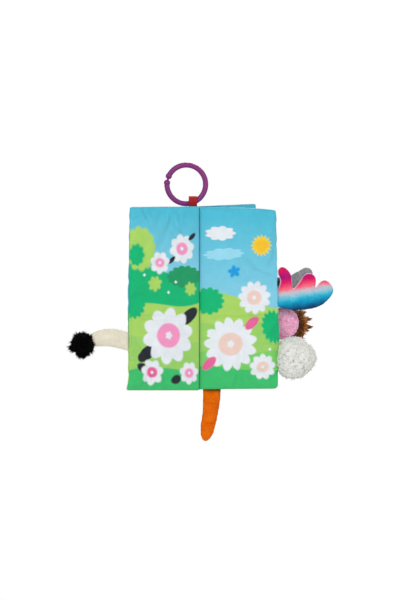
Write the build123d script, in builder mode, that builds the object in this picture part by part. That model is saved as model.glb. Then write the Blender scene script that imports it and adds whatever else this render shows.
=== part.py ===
from build123d import *
import os
from math import asin, atan2, cos, degrees, radians, sin, sqrt

# A cloth book that hangs from a plastic ring: a strap on its spine, two padded
# covers, three padded pages and eight stuffed tails sewn into the leaves' edges.
# Frame: origin at the ring's centre, +Z up, +X to the reader's right, -Y towards
# the reader, with the book hanging open.

# Plastic ring, split at one side by two knobs that snap together
ring_mid_radius = 22.3
ring_wire_d = 6.2
ring_split_angle = 165.0
ring_knob_d = 7.4
ring_knob_spacing = 8.0
ring_pin_d = 2.4
ring_pin_clearance = 0.3
ring_socket_depth = 2.6

# Ribbon strap, looped round the ring and sewn to the top of the spine
strap_x = 7.6
strap_width = 9.7
strap_thickness = 0.8
strap_clearance = 0.3
strap_foot_height = 0.3
strap_set_back = 5.0

# Padded leaves: flat at the seam round the edge, full thickness in the middle
leaf_width = 95.0
leaf_height = 210.0
leaf_thickness = 6.0
leaf_seam_thickness = 2.4
leaf_slope = 11.0
leaf_shoulder = 3.5
leaf_shoulder_share = 0.6
page_draw_in = 3.0
cover_draw_in = 1.2
lower_draw_in = 0.5
outer_corner_radius = 2.5
bound_corner_radius = 1.6
cover_margin = 1.2

# Spine: the pages' bound seam, and a binding tape outside it
spine_width = 20.0
spine_angle = 118.0
seam_width = 14.4
seam_depth = 3.0
page_tuck = 1.0
binding_thickness = 0.8
hinge_clearance = 1.0

# Fan of the open book, as angles from +X seen from above
front_cover_angle = 211.0
page_angles = (12.0, 20.5, 29.0)
page_pitch = 5.0
back_cover_angle = 37.0
back_cover_lift = 6.4

# Tails: a drop is how far a root's middle lies below the book's top, a height is how far
# it lies above the bottom, a half is half a tail's thickness, and a reach and a rise are
# measured from the root's middle
tail_wall = 0.5
cream_tail_drop = 154.7
cream_tail_width = 20.4
cream_tail_tip = 16.0
cream_tail_tip_rise = 2.4
cream_tail_arch = 5.2
cream_tail_half = 6.0
tuft_seat = 49.0
tuft_reach = 61.4
tuft_rise = -3.4
tuft_radius = 15.3
crest_drop = 105.0
crest_root = 18.0
crest_half = 4.5
crest_edge_round = 2.0
wool_height = 36.3
wool_reach = 21.8
wool_radius = 22.4
fleece_height = 74.8
fleece_width = 36.4
fleece_reach = 17.0
fleece_rise = 1.6
fleece_tip_radius = 17.5
fleece_half = 7.0
flame_set = 20.2
flame_width = 22.8
flame_length = 61.0
flame_tip_shift = -6.5
flame_tip_width = 15.4
flame_half = 5.0
flame_edge_round = 3.0
mane_drop = 136.0
mane_root_radius = 9.0
mane_reach = 36.0
mane_radius = 13.8
mane_lock_radius = 7.0
mane_lock_point = 0.8
grey_tail_drop = 106.0
grey_tail_width = 18.0
grey_tail_reach = 55.5
grey_tail_rise = 28.6
grey_tail_tip_radius = 8.3
grey_tail_half = 5.5
charcoal_tail_drop = 88.0
charcoal_tail_width = 18.0
charcoal_tail_reach = 38.0
charcoal_tail_rise = -0.5
charcoal_tail_tip_radius = 8.2
charcoal_tail_half = 5.5

# Places worked out from those sizes
ring_outer_radius = ring_mid_radius + ring_wire_d / 2
ring_inner_radius = ring_mid_radius - ring_wire_d / 2
wire_low = -sqrt(ring_outer_radius**2 - (strap_x - strap_width / 2) ** 2)
wire_high = -sqrt(ring_inner_radius**2 - (strap_x + strap_width / 2) ** 2)
strap_axis_z = (wire_low + wire_high) / 2
strap_loop_radius = (wire_high - wire_low) / 2 + strap_clearance
strap_outer_radius = strap_loop_radius + strap_thickness
book_top = strap_axis_z - strap_outer_radius - strap_foot_height
book_bottom = book_top - leaf_height

spine_along = Vector(cos(radians(spine_angle)), sin(radians(spine_angle)))
spine_inward = Vector(sin(radians(spine_angle)), -cos(radians(spine_angle)))
spine_middle = Vector(strap_x, 0) - spine_along * strap_set_back
spine_top = Plane(spine_middle + Vector(0, 0, book_top), x_dir=spine_along, z_dir=(0, 0, 1))


def leaf_plane(along, tuck, angle):
    """The middle plane of a leaf: x outward from its bound edge, y up, z its thickness."""
    outward = Vector(cos(radians(angle)), sin(radians(angle)))
    facing = Vector(sin(radians(angle)), -cos(radians(angle)))
    return Plane(spine_middle + spine_along * along + spine_inward * tuck, outward, facing)


front_plane = leaf_plane(-spine_width / 2, 0, front_cover_angle)
page_planes = [leaf_plane(k * page_pitch, page_tuck, a) for k, a in zip((-1, 0, 1), page_angles)]
back_plane = leaf_plane(spine_width / 2, 0, back_cover_angle)


def leaf_section(plane, level, inset, draw_in, margin, lift):
    """One outline through a padded leaf, level away from its middle plane."""
    top = book_top + margin - inset
    bottom = book_bottom - margin + inset
    outer = leaf_width - inset
    with BuildSketch(plane.offset(level)) as section:
        with BuildLine():
            Polyline(
                (inset, bottom),
                (outer, bottom + lower_draw_in + lift),
                (outer, top - draw_in + lift),
                (inset, top),
                close=True,
            )
        make_face()
        fillet(section.vertices().sort_by(Axis.X)[-2:], outer_corner_radius)
        fillet(section.vertices().sort_by(Axis.X)[:2], bound_corner_radius)
    return section.sketch


def leaf_sections(plane, draw_in, margin=0.0, lift=0.0):
    """The outlines of a padded leaf, from its back face through its seam to its front."""
    seam = leaf_seam_thickness / 2
    full = leaf_thickness / 2
    shoulder = seam + leaf_shoulder_share * (full - seam)
    steps = [(seam, 0.0), (shoulder, leaf_shoulder), (full, leaf_slope)]
    levels = [(-level, inset) for level, inset in reversed(steps)] + steps
    return [leaf_section(plane, level, inset, draw_in, margin, lift) for level, inset in levels]


def root_plane(plane, drop):
    """The plane of a tail, with its origin on the leaf's outer edge."""
    return Plane(plane.from_local_coords((leaf_width, book_top - drop, 0)), plane.x_dir, plane.z_dir)


def tapered_outline(root_width, tip_x, tip_y, tip_radius):
    """A flat outline round a disc at the root and a disc at the tip, cut off at the root."""
    with BuildSketch() as outline:
        Circle(root_width / 2)
        with Locations((tip_x, tip_y)):
            Circle(tip_radius)
        make_hull()
        with Locations((-root_width, 0)):
            Rectangle(2 * root_width, 4 * root_width, mode=Mode.SUBTRACT)
    return outline.sketch


def rim_edges(made, plane, shortest=0.0):
    """The edges round a flat tail's two broad faces, apart from those at its root."""
    edges = made.faces().filter_by(plane).edges()
    outer = [edge for edge in edges if plane.to_local_coords(edge.center()).X > tail_wall]
    return [edge for edge in outer if edge.length > shortest]


# Ring: one moulding, a split hoop with a knob at each end, a pin on one knob and
# its socket in the other
knob_step = degrees(ring_knob_spacing / ring_mid_radius)
with BuildPart() as hanging_ring:
    with BuildLine(Plane.XZ) as hoop:
        CenterArc((0, 0), ring_mid_radius, ring_split_angle + knob_step / 2, 360 - knob_step)
    socket_knob = hoop.line @ 0
    pin_knob = hoop.line @ 1
    with BuildSketch(Plane(socket_knob, z_dir=hoop.line % 0)):
        Circle(ring_wire_d / 2)
    sweep()
    with Locations(socket_knob, pin_knob):
        Sphere(ring_knob_d / 2)
    socket_floor = ring_knob_d / 2 - ring_socket_depth
    socket_plane = Plane(socket_knob, z_dir=pin_knob - socket_knob)
    with BuildSketch(socket_plane.offset(socket_floor)):
        Circle(ring_pin_d / 2 + ring_pin_clearance)
    extrude(amount=ring_socket_depth, mode=Mode.SUBTRACT)
    pin_end = socket_floor + ring_pin_clearance
    with BuildSketch(socket_plane.offset(pin_end)):
        Circle(ring_pin_d / 2)
    extrude(amount=ring_knob_spacing - pin_end)

# Strap: a loop of ribbon round the ring, with a stitched foot on the spine's top
with BuildPart() as ribbon_strap:
    with BuildSketch(Plane.YZ.offset(strap_x)):
        with Locations((0, strap_axis_z)):
            Circle(strap_outer_radius)
        with Locations((0, (strap_axis_z + book_top) / 2)):
            Rectangle(2 * strap_thickness, strap_axis_z - book_top)
        with Locations((0, strap_axis_z)):
            Circle(strap_loop_radius, mode=Mode.SUBTRACT)
    extrude(amount=strap_width / 2, both=True)

# Covers and pages, padded leaves that are fullest in the middle
with BuildPart() as front_cover:
    loft(leaf_sections(front_plane, cover_draw_in, cover_margin), ruled=True)

with BuildPart() as back_cover:
    loft(leaf_sections(back_plane, cover_draw_in, cover_margin, back_cover_lift), ruled=True)

with BuildPart() as inner_pages:
    for plane in page_planes:
        loft(leaf_sections(plane, page_draw_in), ruled=True)
    with BuildSketch(spine_top):
        with Locations((0, -seam_depth / 2)):
            Rectangle(seam_width, seam_depth)
    extrude(amount=-leaf_height)

# Binding tape, closing the spine between the two covers' hinges
with BuildPart() as spine_binding:
    with BuildSketch(spine_top):
        with Locations((0, binding_thickness / 2)):
            Rectangle(spine_width - leaf_seam_thickness - 2 * hinge_clearance, binding_thickness)
    extrude(amount=-leaf_height)

# Cream tail on the front cover, and the fur tuft that it carries
cream_plane = root_plane(front_plane, cream_tail_drop)
with BuildPart() as cream_tail:
    with BuildSketch(cream_plane):
        with BuildLine():
            upper = ThreePointArc(
                (0, cream_tail_width / 2),
                (tuft_seat / 2, cream_tail_arch + cream_tail_width / 2),
                (tuft_seat, cream_tail_tip_rise + cream_tail_tip / 2),
            )
            lower = ThreePointArc(
                (0, -cream_tail_width / 2),
                (tuft_seat / 2, cream_tail_arch - cream_tail_width / 2),
                (tuft_seat, cream_tail_tip_rise - cream_tail_tip / 2),
            )
            Line(upper @ 0, lower @ 0)
            Line(upper @ 1, lower @ 1)
        make_face()
    extrude(amount=cream_tail_half, both=True)
    fillet(rim_edges(cream_tail, cream_plane, 2 * cream_tail_tip), cream_tail_half - tail_wall / 2)

tuft_middle = cream_plane.from_local_coords((tuft_reach, tuft_rise, 0))
with BuildPart() as fur_tuft:
    with Locations(Plane(tuft_middle, z_dir=cream_plane.x_dir)):
        Sphere(tuft_radius, arc_size1=-degrees(asin((tuft_reach - tuft_seat) / tuft_radius)), align=None)

# Crest of three rounded lobes on the first page
crest_plane = root_plane(page_planes[0], crest_drop)
first_lobe = [(3.1, 16), (3.6, 22.5), (0.6, 30.5), (4.6, 36.4), (11.4, 33.6), (16.4, 26.6), (17.6, 17.4)]
second_lobe = [(18.8, 12.2), (22, 16.8), (26, 23.4), (31.4, 28), (37.6, 28.8), (43.4, 25), (45.6, 18.6)]
third_lobe = [(47, 15), (50.4, 19.4), (56, 21.2), (62.2, 16.8), (65.8, 9.6), (63.4, 1.8)]
crest_underside = [(53.6, -6.6), (41, -11.6), (25.4, -13.2), (10, -12)]
with BuildPart() as crest_tail:
    with BuildSketch(crest_plane):
        with BuildLine():
            lobes = Spline(
                (0, crest_root / 2),
                *first_lobe,
                *second_lobe,
                *third_lobe,
                *crest_underside,
                (0, -crest_root / 2),
            )
            Line(lobes @ 0, lobes @ 1)
        make_face()
    extrude(amount=crest_half, both=True)
    fillet(rim_edges(crest_tail, crest_plane), crest_edge_round)

# Wool ball on the first page
wool_plane = root_plane(page_planes[0], leaf_height - wool_height)
wool_middle = wool_plane.from_local_coords((wool_reach, 0, 0))
with BuildPart() as wool_tail:
    with Locations(Plane(wool_middle, z_dir=wool_plane.x_dir)):
        Sphere(wool_radius, arc_size1=-degrees(asin(wool_reach / wool_radius)), align=None)

# Fleece pad on the second page's outer edge
fleece_plane = root_plane(page_planes[1], leaf_height - fleece_height)
with BuildPart() as fleece_tail:
    with BuildSketch(fleece_plane):
        add(tapered_outline(fleece_width, fleece_reach, fleece_rise, fleece_tip_radius))
    extrude(amount=fleece_half, both=True)
    fillet(rim_edges(fleece_tail, fleece_plane), fleece_half - tail_wall / 2)

# Flame-shaped tail that hangs from the second page's lower edge
edge_slope = atan2(lower_draw_in, leaf_width)
flame_root = (flame_set, book_bottom + flame_set * lower_draw_in / leaf_width, 0)
flame_down = Vector(0, 0, -cos(edge_slope)) + page_planes[1].x_dir * sin(edge_slope)
flame_plane = Plane(
    page_planes[1].from_local_coords(flame_root), x_dir=flame_down, z_dir=page_planes[1].z_dir
)
with BuildPart() as flame_tail:
    with BuildSketch(flame_plane):
        with BuildLine():
            flame_line = Spline(
                (0, flame_width / 2),
                (0.52 * flame_length, flame_width / 2 - 4.0),
                (flame_length - flame_tip_width / 2, flame_tip_shift + flame_tip_width / 2),
                (flame_length, flame_tip_shift),
                (flame_length - flame_tip_width / 2, flame_tip_shift - flame_tip_width / 2),
                (0.52 * flame_length, -flame_width / 2 - 1.2),
                (0, -flame_width / 2),
            )
            Line(flame_line @ 0, flame_line @ 1)
        make_face()
    extrude(amount=flame_half, both=True)
    fillet(rim_edges(flame_tail, flame_plane), flame_edge_round)

# Fur brush with pointed locks on the third page, each lock given by its tip
mane_plane = root_plane(page_planes[2], mane_drop)
mane_tips = [
    (53.5, 15.4, 0), (60.6, 7.2, 3), (64.8, -2.1, 0), (59.8, -8.6, -3), (52.7, -16, 0),
    (52, 3, 11), (51, -4, -11),
]
with BuildPart() as mane_tail:
    with Locations(Plane(mane_plane.origin, z_dir=mane_plane.x_dir)):
        Cone(mane_root_radius, mane_radius, mane_reach, align=(Align.CENTER, Align.CENTER, Align.MIN))
    with Locations(mane_plane.from_local_coords((mane_reach, 0, 0))):
        Sphere(mane_radius)
    for tip_x, tip_y, tip_z in mane_tips:
        lock_base = mane_plane.from_local_coords((mane_reach, tip_y / 2, tip_z / 2))
        lock_tip = mane_plane.from_local_coords((tip_x, tip_y, tip_z))
        with Locations(Plane(lock_base, z_dir=lock_tip - lock_base)):
            Cone(
                mane_lock_radius,
                mane_lock_point,
                (lock_tip - lock_base).length,
                align=(Align.CENTER, Align.CENTER, Align.MIN),
            )

# Grey tail on the third page
grey_plane = root_plane(page_planes[2], grey_tail_drop)
with BuildPart() as grey_tail:
    with BuildSketch(grey_plane):
        add(tapered_outline(grey_tail_width, grey_tail_reach, grey_tail_rise, grey_tail_tip_radius))
    extrude(amount=grey_tail_half, both=True)
    fillet(rim_edges(grey_tail, grey_plane), grey_tail_half - tail_wall / 2)

# Charcoal tail on the back cover
charcoal_plane = root_plane(back_plane, charcoal_tail_drop)
with BuildPart() as charcoal_tail:
    with BuildSketch(charcoal_plane):
        add(
            tapered_outline(
                charcoal_tail_width,
                charcoal_tail_reach,
                charcoal_tail_rise,
                charcoal_tail_tip_radius,
            )
        )
    extrude(amount=charcoal_tail_half, both=True)
    fillet(rim_edges(charcoal_tail, charcoal_plane), charcoal_tail_half - tail_wall / 2)

# One file for each piece
os.makedirs("parts", exist_ok=True)
hanging_ring.part.label = "hanging_ring"
export_step(hanging_ring.part, "parts/hanging_ring.step")
ribbon_strap.part.label = "ribbon_strap"
export_step(ribbon_strap.part, "parts/ribbon_strap.step")
spine_binding.part.label = "spine_binding"
export_step(spine_binding.part, "parts/spine_binding.step")
front_cover.part.label = "front_cover"
export_step(front_cover.part, "parts/front_cover.step")
inner_pages.part.label = "inner_pages"
export_step(inner_pages.part, "parts/inner_pages.step")
back_cover.part.label = "back_cover"
export_step(back_cover.part, "parts/back_cover.step")
cream_tail.part.label = "cream_tail"
export_step(cream_tail.part, "parts/cream_tail.step")
fur_tuft.part.label = "fur_tuft"
export_step(fur_tuft.part, "parts/fur_tuft.step")
crest_tail.part.label = "crest_tail"
export_step(crest_tail.part, "parts/crest_tail.step")
wool_tail.part.label = "wool_tail"
export_step(wool_tail.part, "parts/wool_tail.step")
fleece_tail.part.label = "fleece_tail"
export_step(fleece_tail.part, "parts/fleece_tail.step")
flame_tail.part.label = "flame_tail"
export_step(flame_tail.part, "parts/flame_tail.step")
mane_tail.part.label = "mane_tail"
export_step(mane_tail.part, "parts/mane_tail.step")
grey_tail.part.label = "grey_tail"
export_step(grey_tail.part, "parts/grey_tail.step")
charcoal_tail.part.label = "charcoal_tail"
export_step(charcoal_tail.part, "parts/charcoal_tail.step")
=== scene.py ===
# %% [markdown]
# # A cloth book that hangs from a ring
# The book has padded cloth leaves, and stuffed and furry tails are sewn into their
# edges. The measured frame gives every piece its place. This lesson dresses that
# frame: cloth that swells between its seams, printed colour, curly wool and fur.

# %% Load the measured frame
from functools import partial
from math import cos, pi, radians, sin

import bpy
import numpy as np
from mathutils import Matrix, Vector
from mathutils.geometry import delaunay_2d_cdt


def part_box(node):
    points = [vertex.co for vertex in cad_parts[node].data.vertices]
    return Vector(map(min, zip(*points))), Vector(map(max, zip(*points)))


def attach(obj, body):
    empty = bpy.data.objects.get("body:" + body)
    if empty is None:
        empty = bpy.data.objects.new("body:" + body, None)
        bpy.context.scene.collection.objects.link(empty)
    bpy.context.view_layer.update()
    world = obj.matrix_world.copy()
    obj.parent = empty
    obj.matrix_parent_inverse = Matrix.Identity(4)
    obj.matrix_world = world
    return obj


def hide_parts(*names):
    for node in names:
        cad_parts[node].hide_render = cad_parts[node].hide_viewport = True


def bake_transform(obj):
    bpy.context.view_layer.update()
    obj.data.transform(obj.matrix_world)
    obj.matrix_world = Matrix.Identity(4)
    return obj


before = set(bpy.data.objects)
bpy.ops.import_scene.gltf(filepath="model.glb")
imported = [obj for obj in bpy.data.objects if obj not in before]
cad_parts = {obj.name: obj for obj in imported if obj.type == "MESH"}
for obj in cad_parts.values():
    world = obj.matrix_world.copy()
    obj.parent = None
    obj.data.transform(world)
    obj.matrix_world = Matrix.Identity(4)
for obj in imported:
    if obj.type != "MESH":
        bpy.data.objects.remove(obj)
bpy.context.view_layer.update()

# %% [markdown]
# ## Where the leaves stand
# A leaf is easiest to think about flat: s runs outward from the bound edge, z runs
# up and n runs through the thickness. Each leaf has an origin on the spine and two
# directions, so one small function carries any flat shape to its place in the fan.

# %% Leaf planes, in millimetres
MM = 0.001             # one millimetre, in metres
LEAF_WIDTH = 95.0
LEAF_PITCH = 5.0       # from one bound edge to the next along the spine
PAGE_TUCK = 1.0        # how much further in the pages are bound than the covers
SPINE_X = 7.6          # the spine's middle is this far right of the ring's,
SPINE_FORWARD = 5.0    # and then this far forward along the spine
BOOK_BOTTOM, BOOK_TOP = (1000 * corner[2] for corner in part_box("inner_pages"))
UP = np.array([0, 0, 1.0])


def heading(degrees):
    """A level direction, turned by that angle from +X as seen from above."""
    return np.array([cos(radians(degrees)), sin(radians(degrees)), 0.0])


SPINE_ALONG, SPINE_INWARD = heading(118), heading(28)
SPINE_MIDDLE = np.array([SPINE_X, 0, 0]) - SPINE_FORWARD * SPINE_ALONG


def leaf_place(step, tuck, degrees):
    """Origin on the spine, outward direction and facing direction of one leaf."""
    origin = SPINE_MIDDLE + step * LEAF_PITCH * SPINE_ALONG + tuck * SPINE_INWARD
    return origin, heading(degrees), heading(degrees - 90)


LEAVES = {
    "front_cover": leaf_place(-2, 0, 211),
    "page_one": leaf_place(-1, PAGE_TUCK, 12),
    "page_two": leaf_place(0, PAGE_TUCK, 20.5),
    "page_three": leaf_place(1, PAGE_TUCK, 29),
    "back_cover": leaf_place(2, 0, 37),
}


def on_leaf(leaf, s, z, n):
    """Origin plus s outward, z up and n along the facing direction, as an array of points."""
    origin, outward, facing = LEAVES[leaf]
    s, z, n = (part[..., None] for part in np.broadcast_arrays(s, z, n))
    return origin + s * outward + n * facing + z * UP


print("leaves:", ", ".join(LEAVES))

# %% [markdown]
# ## From arrays to meshes
# A surface is worked out as whole arrays of points in millimetres. These helpers turn
# the points into metres, write the faces and a UV map, and smooth the shading.


# %% Mesh helpers
def new_piece(name, points, faces, uv=None, slots=None):
    """An object from points (mm), faces (lists of corner numbers) and a UV for each point."""
    mesh = bpy.data.meshes.new(name)
    mesh.from_pydata((np.asarray(points) * MM).tolist(), [], faces)
    mesh.polygons.foreach_set("use_smooth", np.ones(len(mesh.polygons), bool))
    if slots is not None:
        mesh.polygons.foreach_set("material_index", slots)
    if uv is not None:
        corner = np.empty(len(mesh.loops), int)
        mesh.loops.foreach_get("vertex_index", corner)
        mesh.uv_layers.new(name="flat").data.foreach_set("uv", np.asarray(uv)[corner].ravel())
    mesh.update()
    piece = bpy.data.objects.new(name, mesh)
    bpy.context.collection.objects.link(piece)
    return piece


def grid_faces(rows, columns, wrap=False):
    """Four-cornered faces over rows x columns points; wrap joins the last column to the first."""
    across = np.arange(columns if wrap else columns - 1)
    r, c = np.meshgrid(np.arange(rows - 1), across, indexing="ij")
    d = (c + 1) % columns
    corners = [r * columns + c, r * columns + d, (r + 1) * columns + d, (r + 1) * columns + c]
    return np.stack(corners, -1).reshape(-1, 4)


def tube_faces(rows, columns):
    """Faces round rows of points that close on themselves, with one face over each end."""
    last = (rows - 1) * columns
    ends = [list(range(columns))[::-1], list(range(last, last + columns))]
    return grid_faces(rows, columns, wrap=True).tolist() + ends


def circle(count):
    """That many even angles round a full turn."""
    return np.linspace(0, 2 * pi, count, endpoint=False)


def unit(vectors):
    """The same directions with a length of one."""
    return vectors / np.maximum(np.linalg.norm(vectors, axis=1, keepdims=True), 1e-9)


def finish_piece(piece, body, slot, materials, *nodes):
    """Gives a piece its materials and its body, and hides the frame nodes it stands for. The record slot is
    not used.
    """
    for material in materials:
        piece.data.materials.append(material)
    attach(piece, body)
    if nodes:
        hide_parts(*nodes)
    print(piece.name, len(piece.data.polygons), "faces on", body)


def soften(piece):
    """Smooths a padded shell by one subdivision."""
    smooth = piece.modifiers.new("soft", "SUBSURF")
    smooth.levels = smooth.render_levels = 1


def srgb(red, green, blue):
    """Screen colour, 0 to 255, as the linear colour that shaders use."""
    c = np.array([red, green, blue]) / 255
    linear = np.where(c <= 0.04045, c / 12.92, ((c + 0.055) / 1.055) ** 2.4)
    return (*linear.tolist(), 1.0)


# %% [markdown]
# ## Shared finishes as node groups
# Weave, pile and printed shapes occur on many pieces. Each is built once as a node
# group with named sockets. A printed shape is a mask: the distance from its middle,
# compared with an edge that can wave in and out to give petals, leaves or clouds.


# %% Node helpers
def new_group(name, inputs, outputs):
    """An empty shader group. An input whose default has three numbers is a vector, four a colour, and one a
    float; outputs give their kinds. Returns the group, the sockets it takes and those it gives."""
    group = bpy.data.node_groups.new(name, "ShaderNodeTree")
    for label, default in inputs.items():
        kind = {1: "Float", 3: "Vector", 4: "Color"}[np.size(default)]
        socket = group.interface.new_socket(label, in_out="INPUT", socket_type="NodeSocket" + kind)
        socket.default_value = default
    for label, kind in outputs.items():
        group.interface.new_socket(label, in_out="OUTPUT", socket_type="NodeSocket" + kind)
    return group, group.nodes.new("NodeGroupInput").outputs, group.nodes.new("NodeGroupOutput").inputs


def put(tree, socket, value):
    """Links a socket to another one, or sets it to a number or colour."""
    if isinstance(value, bpy.types.NodeSocket):
        tree.links.new(value, socket)
    else:
        socket.default_value = value


def fill(tree, node, *values, **named):
    """Sets or links a node's inputs, in order or by name. Returns the node."""
    for socket, value in zip(node.inputs, values):
        put(tree, socket, value)
    for label, value in named.items():
        put(tree, node.inputs[label], value)
    return node


def add(tree, kind, *values, **named):
    """A new shader node of a kind, with its inputs filled."""
    return fill(tree, tree.nodes.new("ShaderNode" + kind), *values, **named)


def calc(tree, operation, *values):
    """One Math node; each value is a number or a socket. Returns its result socket."""
    node = tree.nodes.new("ShaderNodeMath")
    node.operation = operation
    return fill(tree, node, *values).outputs[0]


def stretch(tree, value, low, high, start=0.0, end=1.0):
    """One Map Range node: carries low to start and high to end. Returns its result socket."""
    return add(tree, "MapRange", value, low, high, start, end).outputs[0]


def edge_mask(tree, distance, softness):
    """1 where the distance is below zero, 0 above, with a soft edge between."""
    return stretch(tree, distance, calc(tree, "MULTIPLY", softness, -1.0), softness, 1.0, 0.0)


def mix(tree, factor, first, second, blend="MIX"):
    """One colour Mix node. Returns its result socket."""
    node = tree.nodes.new("ShaderNodeMix")
    node.data_type = "RGBA"
    node.blend_type = blend
    for index, value in ((0, factor), (6, first), (7, second)):
        put(tree, node.inputs[index], value)
    return node.outputs[2]


def noise(tree, place, scale, **more):
    """One Noise Texture node. Returns its value socket."""
    return add(tree, "TexNoise", Vector=place, Scale=scale, **more).outputs["Fac"]


def split(tree, vector):
    """The three parts of a vector, as sockets."""
    return add(tree, "SeparateXYZ", vector).outputs


def flat_uv(tree):
    """The piece's own UV map, as a socket."""
    node = add(tree, "UVMap")
    node.uv_map = "flat"
    return node.outputs[0]


# %% Printed shapes
printed_shape, take, give = new_group(
    "printed_shape",
    dict(UV=(0, 0, 0), Centre=(0, 0, 0), Width=0.1, Height=0.1, Turn=0.0, Lobes=0.0, Depth=0.0, Soft=0.03),
    dict(Mask="Float"),
)
do = partial(calc, printed_shape)    # a short name for calc in this group
offset = printed_shape.nodes.new("ShaderNodeVectorMath")
offset.operation = "SUBTRACT"
fill(printed_shape, offset, take["UV"], take["Centre"])
turned = printed_shape.nodes.new("ShaderNodeVectorRotate")
turned.rotation_type = "Z_AXIS"
fill(printed_shape, turned, Vector=offset.outputs[0], Angle=do("MULTIPLY", take["Turn"], -1.0))
x, y, _ = split(printed_shape, turned.outputs[0])
across = do("DIVIDE", x, take["Width"])
upward = do("DIVIDE", y, take["Height"])
reach = do("SQRT", do("ADD", do("POWER", across, 2.0), do("POWER", upward, 2.0)))
angle = do("ARCTAN2", upward, across)
wave = do("ABSOLUTE", do("COSINE", do("MULTIPLY", angle, do("MULTIPLY", take["Lobes"], 0.5))))
rim = do("ADD", do("MULTIPLY", wave, take["Depth"]), do("SUBTRACT", 1.0, take["Depth"]))
put(printed_shape, give["Mask"], edge_mask(printed_shape, do("SUBTRACT", reach, rim), take["Soft"]))
print(printed_shape.name, len(printed_shape.nodes), "nodes")

# %% Printed hills
printed_hill, take, give = new_group(
    "printed_hill",
    dict(UV=(0, 0, 0), Height=0.5, Slope=0.0, Swell=0.0, Waves=4.0, Phase=0.0, Teeth=0.0, Pitch=20.0,
         Soft=0.008),
    dict(Mask="Float"),
)
do = partial(calc, printed_hill)
x, y, _ = split(printed_hill, take["UV"])
roll = do("SINE", do("MULTIPLY_ADD", x, take["Waves"], take["Phase"]))
tooth = do("PINGPONG", do("MULTIPLY", x, take["Pitch"]), 1.0)
ridge = do("MULTIPLY_ADD", x, take["Slope"], take["Height"])
ridge = do("MULTIPLY_ADD", roll, take["Swell"], ridge)
ridge = do("MULTIPLY_ADD", tooth, take["Teeth"], ridge)
put(printed_hill, give["Mask"], edge_mask(printed_hill, do("SUBTRACT", y, ridge), take["Soft"]))
print(printed_hill.name, len(printed_hill.nodes), "nodes")

# %% Woven cloth
FADED, FULL = (0.84, 0.87, 0.89, 1), (1.0, 1.0, 1.0, 1)
cloth_weave, take, give = new_group(
    "cloth_weave", dict(UV=(0, 0, 0), Threads=140.0), dict(Height="Float", Tone="Color"))
heights = []
for direction in ("X", "Y"):
    thread = add(cloth_weave, "TexWave", Vector=take["UV"], Scale=take["Threads"], Distortion=0.6)
    thread.bands_direction = direction
    heights.append(thread.outputs["Fac"])
put(cloth_weave, give["Height"], calc(cloth_weave, "MULTIPLY", *heights))
put(cloth_weave, give["Tone"], mix(cloth_weave, noise(cloth_weave, take["UV"], 9.0), FADED, FULL))
print(cloth_weave.name, len(cloth_weave.nodes), "nodes")

# %% Pile
pile_surface, take, give = new_group(
    "pile_surface",
    dict(Place=(0, 0, 0), Deep=(0, 0, 0, 1), Tip=(1, 1, 1, 1), Scale=900.0),
    dict(Color="Color", Height="Float"),
)
do = partial(calc, pile_surface)
fine = noise(pile_surface, take["Place"], take["Scale"], Detail=4.0)
coarse = noise(pile_surface, take["Place"], do("MULTIPLY", take["Scale"], 0.12))
blend = do("MULTIPLY_ADD", fine, 0.7, do("MULTIPLY", coarse, 0.5))
# the same noise gives the relief, so the deep tone lies in its hollows: painted shade there, over tone that
# differs at random
tone = stretch(pile_surface, blend, 0.38, 0.82)
put(pile_surface, give["Color"], mix(pile_surface, tone, take["Deep"], take["Tip"]))
put(pile_surface, give["Height"], blend)
print(pile_surface.name, len(pile_surface.nodes), "nodes")

# %% [markdown]
# ## Materials from the groups
# A material holds the shader and its constant values. The groups give it only what
# changes over the surface: a colour, and a height that a Bump node turns into relief.


# %% Material helpers
def new_finish(name, roughness, sheen=0.0, specular=0.12):
    """A material with one Principled shader. Constant values sit on the shader's own sockets."""
    material = bpy.data.materials.new(name)
    material.use_nodes = True
    tree = material.node_tree
    values = {"Roughness": roughness, "Specular IOR Level": specular}
    values.update({"Sheen Weight": sheen, "Sheen Roughness": 0.5})
    return material, tree, fill(tree, tree.nodes["Principled BSDF"], **values)


def place_group(tree, group, **values):
    """Puts a node group in a material and sets or links its named inputs. Returns its outputs."""
    node = tree.nodes.new("ShaderNodeGroup")
    node.node_tree = group
    return fill(tree, node, **values).outputs


def surface(tree, shader, colour, height, strength, distance):
    """Gives the shader its colour, and its normal from a height through a Bump node."""
    bump = add(tree, "Bump", Height=height, Strength=strength, Distance=distance)
    put(tree, shader.inputs["Base Color"], colour)
    put(tree, shader.inputs["Normal"], bump.outputs[0])


def weave_over(tree, shader, uv, colour, strength, distance=0.0002, threads=140.0):
    """Lays the weave's uneven tone and its relief over a colour."""
    weave = place_group(tree, cloth_weave, UV=uv, Threads=threads)
    toned = mix(tree, 1.0, colour, weave["Tone"], "MULTIPLY")
    surface(tree, shader, toned, weave["Height"], strength, distance)


def pile_finish(name, deep, tip, scale, roughness=0.9, sheen=0.4, depth=0.0006):
    """Plush, fur or wool: two mingled tones and a fine uneven surface, the deep tone painted as shade in its
    hollows.
    """
    material, tree, shader = new_finish(name, roughness, sheen)
    place = add(tree, "TexCoord").outputs["Object"]
    pile = place_group(tree, pile_surface, Place=place, Deep=srgb(*deep), Tip=srgb(*tip), Scale=scale)
    surface(tree, shader, pile["Color"], pile["Height"], strength=0.7, distance=depth)
    return material


def printed_finish(name, sky, *layers):
    """Printed cloth: each layer's mask lays its colour over the ones before, under the weave."""
    material, tree, shader = new_finish(name, 0.62, 0.1)
    uv = flat_uv(tree)
    colour = srgb(*sky)
    for group, ink, values in layers:
        mask = place_group(tree, group, UV=uv, **values)["Mask"]
        colour = mix(tree, mask, colour, srgb(*ink))
    weave_over(tree, shader, uv, colour, strength=0.25)
    print(name, len(layers), "layers")
    return material


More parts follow.
